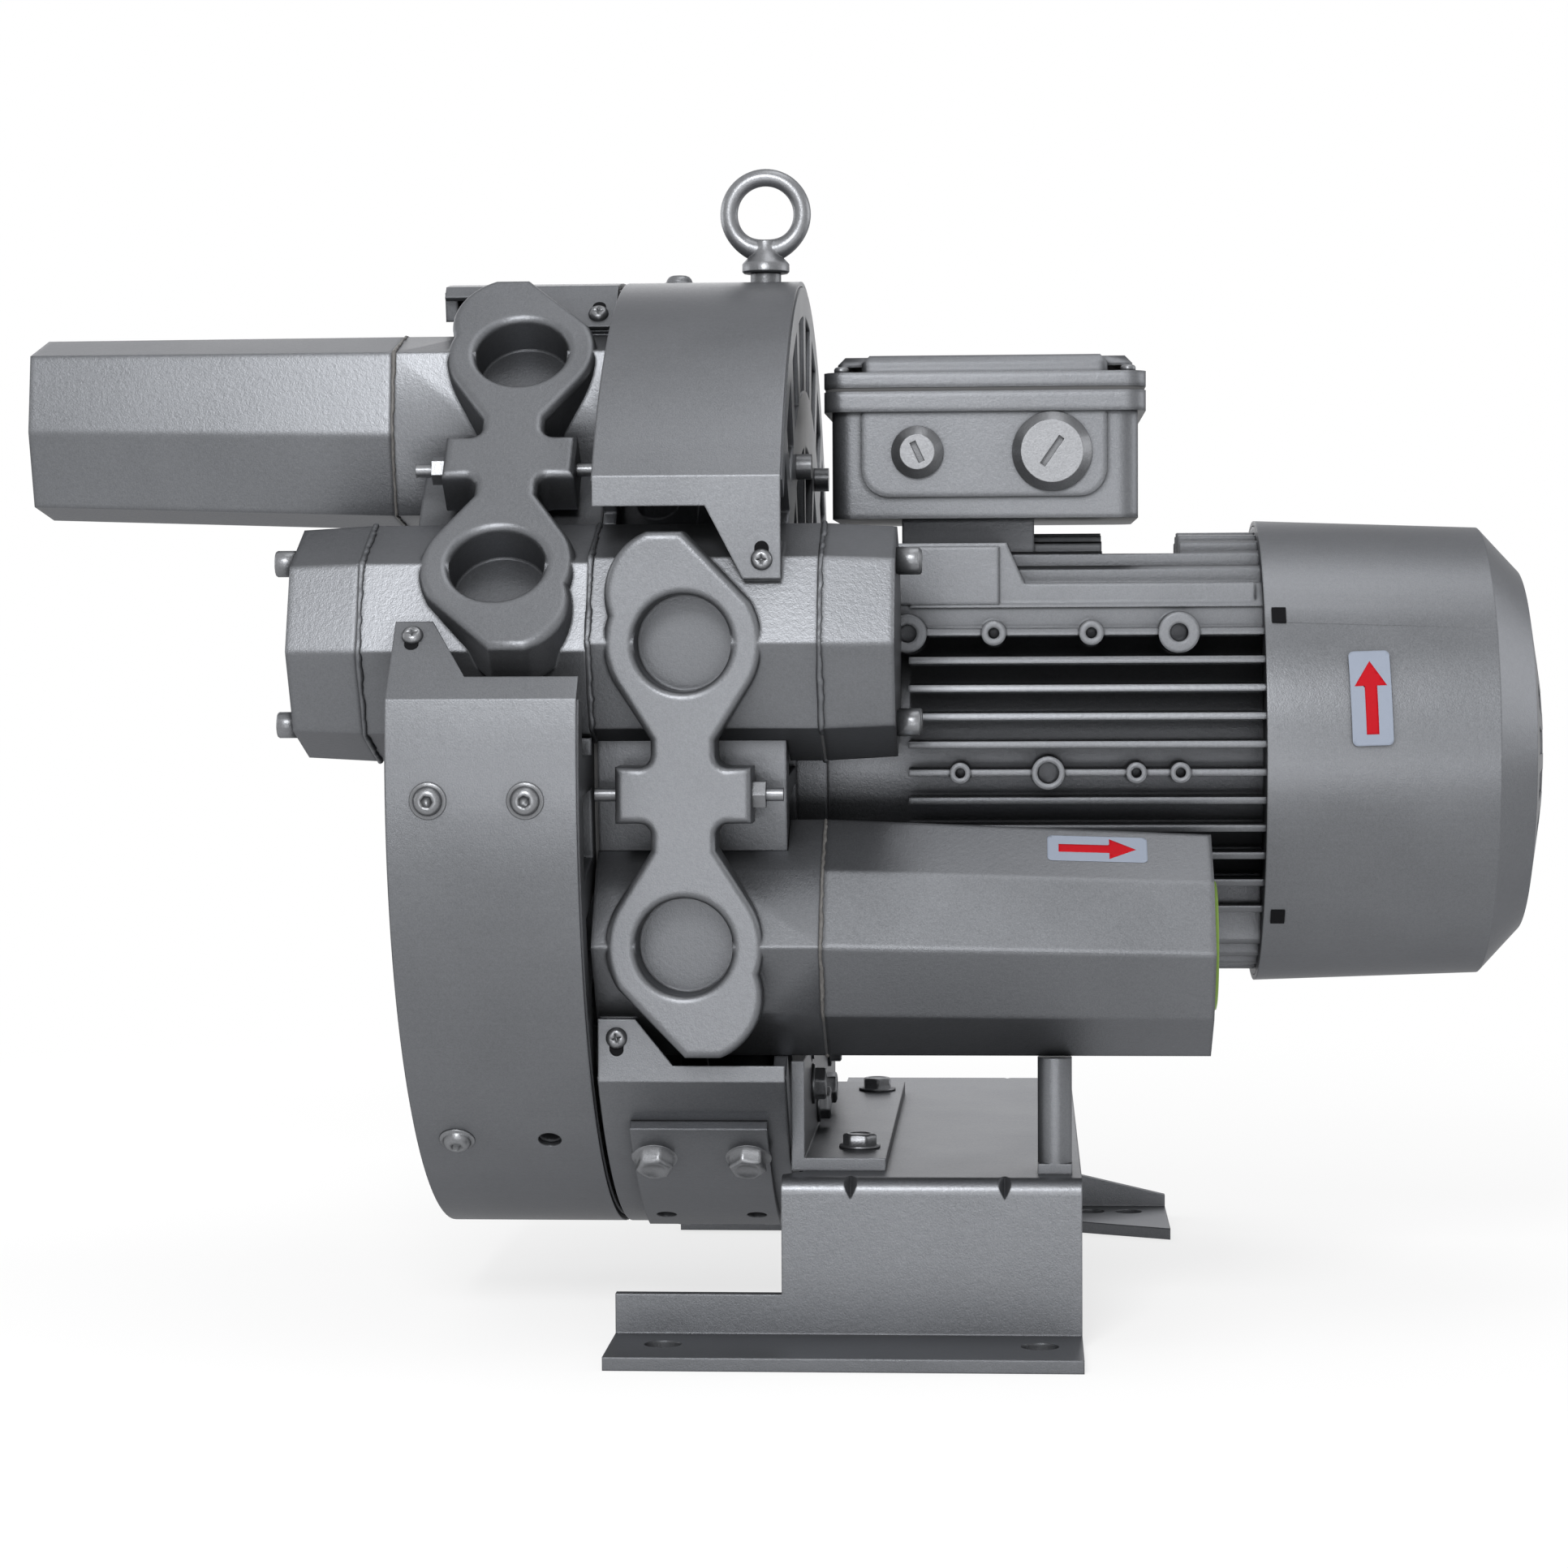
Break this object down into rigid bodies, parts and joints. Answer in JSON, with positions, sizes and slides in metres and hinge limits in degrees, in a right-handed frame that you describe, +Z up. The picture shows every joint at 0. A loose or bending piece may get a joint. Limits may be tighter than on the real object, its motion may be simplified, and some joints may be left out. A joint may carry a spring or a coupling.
{
  "type": "side channel blower",
  "caption": "Two-stage side channel blower with flange motor, cylindrical hoods, eight-sided crossover duct, inlet and outlet silencers and a bent sheet foot.",
  "frame": {"origin": "on the floor, in the middle of the rectangle of the foot's four bolt holes", "axes": "+X along the shaft towards the motor's fan cover, -Y the front with the silencers, +Z up"},
  "size_m": [0.597, 0.3919, 0.4589],
  "materials": {
    "silver_paint_cast": "satin silver-grey metallic paint on cast aluminium",
    "silver_paint_steel": "satin silver-grey metallic paint on steel",
    "bare_steel": "machined",
    "bare_aluminium": "as cast",
    "dark_rubber": "matt",
    "black_plastic": "moulded",
    "silver_plastic": "painted over in silver grey",
    "green_plastic": "moulded",
    "copper_wire": "enamelled copper",
    "absorber_foam": "open-celled"
  },
  "bodies": {
    "blower": {"bearing_1": "bare_steel", "bearing_2": "bare_steel", "bracket_bolts": "silver_paint_steel", "cap_bolts": "silver_paint_steel", "cap_gaskets": "dark_rubber", "cradle": "silver_paint_steel", "cradle_bolts": "silver_paint_steel", "end_bearing_cap": "silver_paint_cast", "fan_cover": "silver_paint_steel", "foot_frame": "silver_paint_steel", "front_bracket": "silver_paint_steel", "hood_screws": "silver_paint_steel", "inlet_liner": "absorber_foam", "inlet_silencer": "silver_paint_cast", "large_blind_plug": "silver_plastic", "lid_screws": "silver_paint_steel", "lifting_eye": "silver_paint_steel", "lug_nuts": "silver_paint_steel", "lug_studs": "silver_paint_steel", "middle_gasket": "dark_rubber", "motor_frame": "silver_paint_cast", "outlet_liner": "absorber_foam", "outlet_port_ring": "green_plastic", "outlet_silencer": "silver_paint_cast", "rear_bearing": "bare_steel", "rear_endshield": "silver_paint_cast", "shaft_seals": "dark_rubber", "silencer_gaskets": "dark_rubber", "silencer_post": "silver_paint_steel", "small_blind_plug": "silver_plastic", "stage_1_duct_cap": "silver_paint_cast", "stage_1_hood": "silver_paint_steel", "stage_1_inner_casing": "silver_paint_cast", "stage_1_manifold": "silver_paint_cast", "stage_1_outer_casing": "silver_paint_cast", "stage_2_duct_cap": "silver_paint_cast", "stage_2_hood": "silver_paint_steel", "stage_2_inner_casing": "silver_paint_cast", "stage_2_manifold": "silver_paint_cast", "stage_2_outer_casing": "silver_paint_cast", "stage_gasket": "dark_rubber", "stator_core": "bare_steel", "tab_screws": "silver_paint_steel", "terminal_block": "black_plastic", "terminal_box": "silver_paint_cast", "terminal_box_lid": "silver_paint_cast", "terminal_box_seal": "dark_rubber", "tie_bolts": "silver_paint_steel", "windings": "copper_wire"},
    "rotor": {"shaft": "bare_steel", "rotor_core": "bare_steel", "cooling_fan": "black_plastic", "stage_1_impeller": "bare_aluminium", "stage_2_impeller": "bare_aluminium"}
  },
  "joints": [
    {"name": "rotor_spin", "type": "hinge", "parent": "blower", "child": "rotor", "pos_m": [0, 0, 0.22], "axis": [1, 0, 0], "continuous": true}
  ]
}
